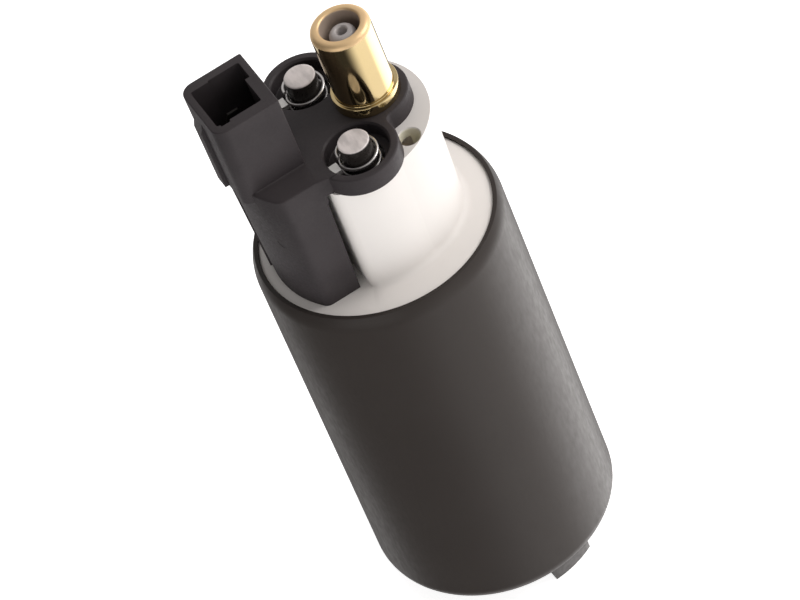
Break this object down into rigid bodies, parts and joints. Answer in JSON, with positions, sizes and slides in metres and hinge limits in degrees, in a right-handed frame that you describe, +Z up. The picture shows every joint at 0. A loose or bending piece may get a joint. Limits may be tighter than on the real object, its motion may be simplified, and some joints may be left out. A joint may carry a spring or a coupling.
{
  "type": "fuel pump",
  "caption": "Cylindrical in-tank electric fuel pump: steel can, moulded end cap with keyed socket tower, suppression chokes and a barbless brass outlet tube.",
  "frame": {"origin": "on the pump's axis, on the plane that the inlet cover's feet stand on", "axes": "+Z up the pump's axis to the outlet; +X to the outlet tube's side, -X to the socket"},
  "size_m": [0.038, 0.038, 0.1085],
  "materials": {
    "case_steel": "satin",
    "cover_casting": "satin",
    "housing_plastic": "matte",
    "cap_plastic": "matte",
    "impeller_plastic": "matte",
    "tube_brass": "satin",
    "valve_plastic": "satin",
    "valve_steel": "satin",
    "spring_steel": "satin",
    "seal_rubber": "matte",
    "plated_steel": "satin",
    "magnet_ferrite": "matte",
    "choke_ferrite": "matte",
    "choke_wire": "bright",
    "winding_copper": "gloss",
    "lamination_steel": "satin",
    "commutator_copper": "satin",
    "bush_bronze": "satin",
    "brush_carbon": "matte",
    "terminal_metal": "bright"
  },
  "bodies": {
    "pump_body": {"pump_case": "case_steel", "inlet_cover": "cover_casting", "thrust_button": "valve_steel", "pump_chamber": "cover_casting", "lower_bush": "bush_bronze", "flux_ring": "plated_steel", "magnet_a": "magnet_ferrite", "magnet_b": "magnet_ferrite", "magnet_clips": "plated_steel", "upper_bush": "bush_bronze", "case_seal": "seal_rubber", "outlet_end_cap": "cap_plastic", "outlet_tube": "tube_brass", "check_valve_cage": "valve_plastic", "check_valve_spring": "spring_steel", "relief_valve_seat": "tube_brass", "relief_valve_spring": "spring_steel", "relief_valve_plug": "tube_brass", "connector_housing": "housing_plastic", "brush_spring_positive": "spring_steel", "brush_spring_negative": "spring_steel", "brush_lead_positive": "winding_copper", "brush_lead_negative": "winding_copper", "terminal_positive": "terminal_metal", "terminal_negative": "terminal_metal", "choke_core_positive": "choke_ferrite", "choke_core_negative": "choke_ferrite", "choke_coil_positive": "choke_wire", "choke_coil_negative": "choke_wire"},
    "rotor": {"armature_shaft": "valve_steel", "impeller": "impeller_plastic", "shaft_spacer": "impeller_plastic", "armature_core": "lamination_steel", "armature_winding": "winding_copper", "commutator": "commutator_copper"},
    "poppet": {"check_valve_poppet": "valve_plastic"},
    "relief_ball": {"relief_valve_ball": "valve_steel"},
    "brush_positive_body": {"brush_positive": "brush_carbon"},
    "brush_negative_body": {"brush_negative": "brush_carbon"}
  },
  "joints": [
    {"name": "rotor_spin", "type": "hinge", "parent": "pump_body", "child": "rotor", "pos_m": [0, 0, 0.03], "axis": [0, 0, 1], "continuous": true},
    {"name": "check_valve_lift", "type": "slide", "parent": "pump_body", "child": "poppet", "axis": [0, 0, 1], "range_m": [0, 0.0015], "stiffness_N_per_m": 120, "springref_m": -0.002, "deforming": ["check_valve_spring"]},
    {"name": "relief_valve_lift", "type": "slide", "parent": "pump_body", "child": "relief_ball", "axis": [0, 0, 1], "range_m": [0, 0.0012], "stiffness_N_per_m": 900, "springref_m": -0.002, "deforming": ["relief_valve_spring"]},
    {"name": "brush_positive_slide", "type": "slide", "parent": "pump_body", "child": "brush_positive_body", "axis": [0, 0, 1], "range_m": [0, 0.003], "stiffness_N_per_m": 150, "springref_m": -0.004, "deforming": ["brush_spring_positive", "brush_lead_positive"]},
    {"name": "brush_negative_slide", "type": "slide", "parent": "pump_body", "child": "brush_negative_body", "axis": [0, 0, 1], "range_m": [0, 0.003], "stiffness_N_per_m": 150, "springref_m": -0.004, "deforming": ["brush_spring_negative", "brush_lead_negative"]}
  ]
}
